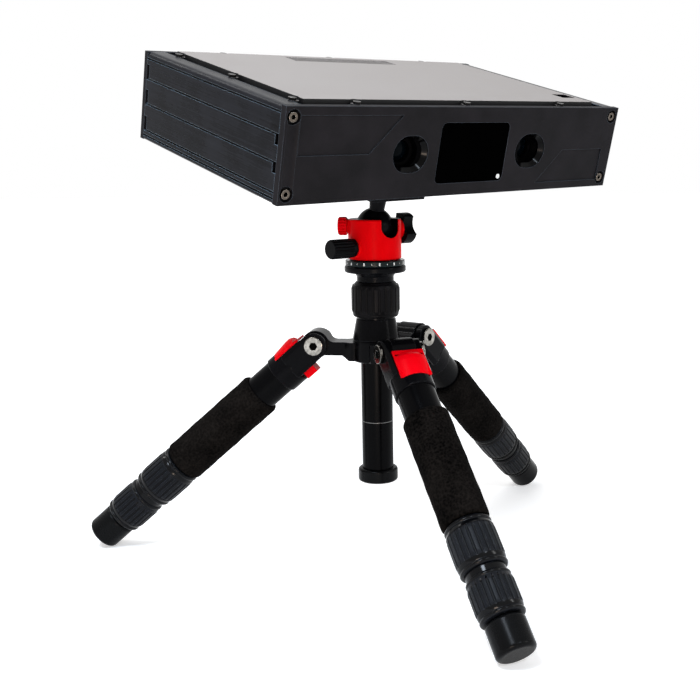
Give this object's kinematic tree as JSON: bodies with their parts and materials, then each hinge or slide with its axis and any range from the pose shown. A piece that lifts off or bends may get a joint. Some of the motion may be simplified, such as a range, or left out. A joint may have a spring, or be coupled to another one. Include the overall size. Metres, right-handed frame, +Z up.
{
  "type": "structured-light scanner on a tripod",
  "caption": "Flat box scanner with a projector window between camera ports, on a folding tabletop tripod with a ball head, telescoping legs and a lifting column.",
  "frame": {"origin": "floor level at the middle of the bounding box in plan", "axes": "+Z up along the column, the scanner looks toward -Y, +X to the right seen from the front"},
  "size_m": [0.3898, 0.3966, 0.3853],
  "materials": {
    "gloss_black_casting": "gloss black lacquer on cast metal",
    "bright_steel": "turned bright steel",
    "black_anodised_tube": "satin black anodised tube",
    "black_foam": "matt closed-cell foam",
    "ribbed_rubber": "matt ribbed rubber",
    "foot_rubber": "matt rubber",
    "red_anodised": "satin red anodised",
    "black_anodised": "satin black anodised",
    "black_plastic": "matt black",
    "dark_scale": "gloss dark ring",
    "knob_rubber": "satin black rubber",
    "black_anodised_panel": "fine blasted black anodised",
    "grey_extrusion": "dark grey anodised extrusion",
    "satin_cover": "satin dark grey cover",
    "black_screw": "black oxide",
    "dark_glass": "polished black glass",
    "coated_lens": "coated lens glass",
    "circuit_board": "circuit board"
  },
  "bodies": {
    "stand": {"spider": "gloss_black_casting", "pivot_bolts": "bright_steel"},
    "leg_1": {"leg_casting_1": "gloss_black_casting", "upper_tube_1": "black_anodised_tube", "foam_grip_1": "black_foam"},
    "latch_1": {"angle_latch_1": "red_anodised"},
    "upper_twist_1": {"upper_lock_1": "ribbed_rubber"},
    "middle_1": {"middle_tube_1": "black_anodised_tube"},
    "lower_twist_1": {"lower_lock_1": "ribbed_rubber"},
    "lower_1": {"lower_tube_1": "black_anodised_tube", "foot_1": "foot_rubber"},
    "leg_2": {"leg_casting_2": "gloss_black_casting", "upper_tube_2": "black_anodised_tube", "foam_grip_2": "black_foam"},
    "latch_2": {"angle_latch_2": "red_anodised"},
    "upper_twist_2": {"upper_lock_2": "ribbed_rubber"},
    "middle_2": {"middle_tube_2": "black_anodised_tube"},
    "lower_twist_2": {"lower_lock_2": "ribbed_rubber"},
    "lower_2": {"lower_tube_2": "black_anodised_tube", "foot_2": "foot_rubber"},
    "leg_3": {"leg_casting_3": "gloss_black_casting", "upper_tube_3": "black_anodised_tube", "foam_grip_3": "black_foam"},
    "latch_3": {"angle_latch_3": "red_anodised"},
    "upper_twist_3": {"upper_lock_3": "ribbed_rubber"},
    "middle_3": {"middle_tube_3": "black_anodised_tube"},
    "lower_twist_3": {"lower_lock_3": "ribbed_rubber"},
    "lower_3": {"lower_tube_3": "black_anodised_tube", "foot_3": "foot_rubber"},
    "column": {"column_head": "black_anodised", "column_upper": "black_anodised_tube", "column_lower": "black_anodised_tube", "column_end": "black_plastic", "head_base": "black_anodised", "scale_ring": "dark_scale"},
    "collar": {"column_collar": "ribbed_rubber"},
    "head": {"ball_housing": "red_anodised"},
    "ball": {"ball_stem": "black_anodised"},
    "ball_lock": {"ball_lock_knob": "knob_rubber"},
    "pan_lock": {"pan_lock_knob": "knob_rubber"},
    "friction": {"friction_knob": "red_anodised"},
    "scanner": {"clamp_base": "black_anodised", "release_plate": "black_anodised", "plate_bolt": "bright_steel", "front_panel": "black_anodised_panel", "rear_panel": "black_anodised_panel", "left_side": "grey_extrusion", "right_side": "grey_extrusion", "bottom_plate": "black_anodised_panel", "top_cover": "satin_cover", "plate_screws": "black_screw", "panel_screws": "black_screw", "projector_window": "dark_glass", "projector": "black_plastic", "left_camera": "black_plastic", "right_camera": "black_plastic", "camera_lenses": "coated_lens", "main_board": "circuit_board"},
    "jaw": {"clamp_jaw": "black_anodised"},
    "jaw_screw": {"clamp_knob": "knob_rubber"}
  },
  "joints": [
    {"name": "leg_fold_1", "type": "hinge", "parent": "stand", "child": "leg_1", "pos_m": [0.01282, 0.03447, 0.16642], "axis": [0.225, -0.9744, 0], "range_deg": [-48, 0]},
    {"name": "latch_pull_1", "type": "slide", "parent": "leg_1", "child": "latch_1", "axis": [0.6444, 0.1488, 0.7501], "range_m": [0, 0.0045], "stiffness_N_per_m": 300, "springref_m": -0.003},
    {"name": "upper_twist_1", "type": "hinge", "parent": "leg_1", "child": "upper_twist_1", "pos_m": [0.01282, 0.03447, 0.16642], "axis": [0.7309, 0.1687, -0.6613], "range_deg": [0, 180]},
    {"name": "middle_slide_1", "type": "slide", "parent": "leg_1", "child": "middle_1", "axis": [0.7309, 0.1687, -0.6613], "range_m": [0, 0.095]},
    {"name": "lower_twist_1", "type": "hinge", "parent": "middle_1", "child": "lower_twist_1", "pos_m": [0.01282, 0.03447, 0.16642], "axis": [0.7309, 0.1687, -0.6613], "range_deg": [0, 180]},
    {"name": "lower_slide_1", "type": "slide", "parent": "middle_1", "child": "lower_1", "axis": [0.7309, 0.1687, -0.6613], "range_m": [0, 0.105]},
    {"name": "leg_fold_2", "type": "hinge", "parent": "stand", "child": "leg_2", "pos_m": [-0.06255, 0.05751, 0.16642], "axis": [0.7314, 0.682, 0], "range_deg": [-48, 0]},
    {"name": "latch_pull_2", "type": "slide", "parent": "leg_2", "child": "latch_2", "axis": [-0.451, 0.4837, 0.7501], "range_m": [0, 0.0045], "stiffness_N_per_m": 300, "springref_m": -0.003},
    {"name": "upper_twist_2", "type": "hinge", "parent": "leg_2", "child": "upper_twist_2", "pos_m": [-0.06255, 0.05751, 0.16642], "axis": [-0.5116, 0.5486, -0.6613], "range_deg": [0, 180]},
    {"name": "middle_slide_2", "type": "slide", "parent": "leg_2", "child": "middle_2", "axis": [-0.5116, 0.5486, -0.6613], "range_m": [0, 0.095]},
    {"name": "lower_twist_2", "type": "hinge", "parent": "middle_2", "child": "lower_twist_2", "pos_m": [-0.06255, 0.05751, 0.16642], "axis": [-0.5116, 0.5486, -0.6613], "range_deg": [0, 180]},
    {"name": "lower_slide_2", "type": "slide", "parent": "middle_2", "child": "lower_2", "axis": [-0.5116, 0.5486, -0.6613], "range_m": [0, 0.105]},
    {"name": "leg_fold_3", "type": "hinge", "parent": "stand", "child": "leg_3", "pos_m": [-0.04482, -0.01928, 0.16642], "axis": [-0.9563, 0.2924, 0], "range_deg": [-48, 0]},
    {"name": "latch_pull_3", "type": "slide", "parent": "leg_3", "child": "latch_3", "axis": [-0.1933, -0.6324, 0.7501], "range_m": [0, 0.0045], "stiffness_N_per_m": 300, "springref_m": -0.003},
    {"name": "upper_twist_3", "type": "hinge", "parent": "leg_3", "child": "upper_twist_3", "pos_m": [-0.04482, -0.01928, 0.16642], "axis": [-0.2193, -0.7173, -0.6613], "range_deg": [0, 180]},
    {"name": "middle_slide_3", "type": "slide", "parent": "leg_3", "child": "middle_3", "axis": [-0.2193, -0.7173, -0.6613], "range_m": [0, 0.095]},
    {"name": "lower_twist_3", "type": "hinge", "parent": "middle_3", "child": "lower_twist_3", "pos_m": [-0.04482, -0.01928, 0.16642], "axis": [-0.2193, -0.7173, -0.6613], "range_deg": [0, 180]},
    {"name": "lower_slide_3", "type": "slide", "parent": "middle_3", "child": "lower_3", "axis": [-0.2193, -0.7173, -0.6613], "range_m": [0, 0.105]},
    {"name": "column_lift", "type": "slide", "parent": "stand", "child": "column", "axis": [0, 0, 1], "range_m": [0, 0.075]},
    {"name": "collar_turn", "type": "hinge", "parent": "stand", "child": "collar", "pos_m": [-0.03152, 0.02423, 0.18752], "axis": [0, 0, 1], "range_deg": [0, 180]},
    {"name": "pan", "type": "hinge", "parent": "column", "child": "head", "pos_m": [-0.03152, 0.02423, 0.25582], "axis": [0, 0, 1], "continuous": true},
    {"name": "tilt", "type": "hinge", "parent": "head", "child": "ball", "pos_m": [-0.03152, 0.02423, 0.25582], "axis": [1, 0, 0], "range_deg": [-44, 30]},
    {"name": "swivel", "type": "hinge", "parent": "ball", "child": "scanner", "pos_m": [-0.03152, 0.02423, 0.25582], "axis": [-0.0186, -0.2504, 0.968], "continuous": true},
    {"name": "ball_lock_turn", "type": "hinge", "parent": "head", "child": "ball_lock", "pos_m": [-0.01151, 0.02423, 0.25282], "axis": [1, 0, 0], "range_deg": [0, 270]},
    {"name": "pan_lock_turn", "type": "hinge", "parent": "head", "child": "pan_lock", "pos_m": [-0.05151, 0.02423, 0.24042], "axis": [-1, 0, 0], "range_deg": [0, 360]},
    {"name": "friction_turn", "type": "hinge", "parent": "head", "child": "friction", "pos_m": [-0.04566, 0.03837, 0.25582], "axis": [-0.7071, 0.7071, 0], "range_deg": [0, 360]},
    {"name": "jaw_slide", "type": "slide", "parent": "scanner", "child": "jaw", "axis": [-0.0048, 0.9681, 0.2503], "range_m": [0, 0.005]},
    {"name": "clamp_turn", "type": "hinge", "parent": "jaw", "child": "jaw_screw", "pos_m": [-0.03226, 0.03798, 0.29448], "axis": [-0.0048, 0.9681, 0.2503], "range_deg": [0, 1500]}
  ],
  "couplings": [
    {"joint": "clamp_turn", "follows": "jaw_slide", "rad_per_m": 5026.5}
  ]
}
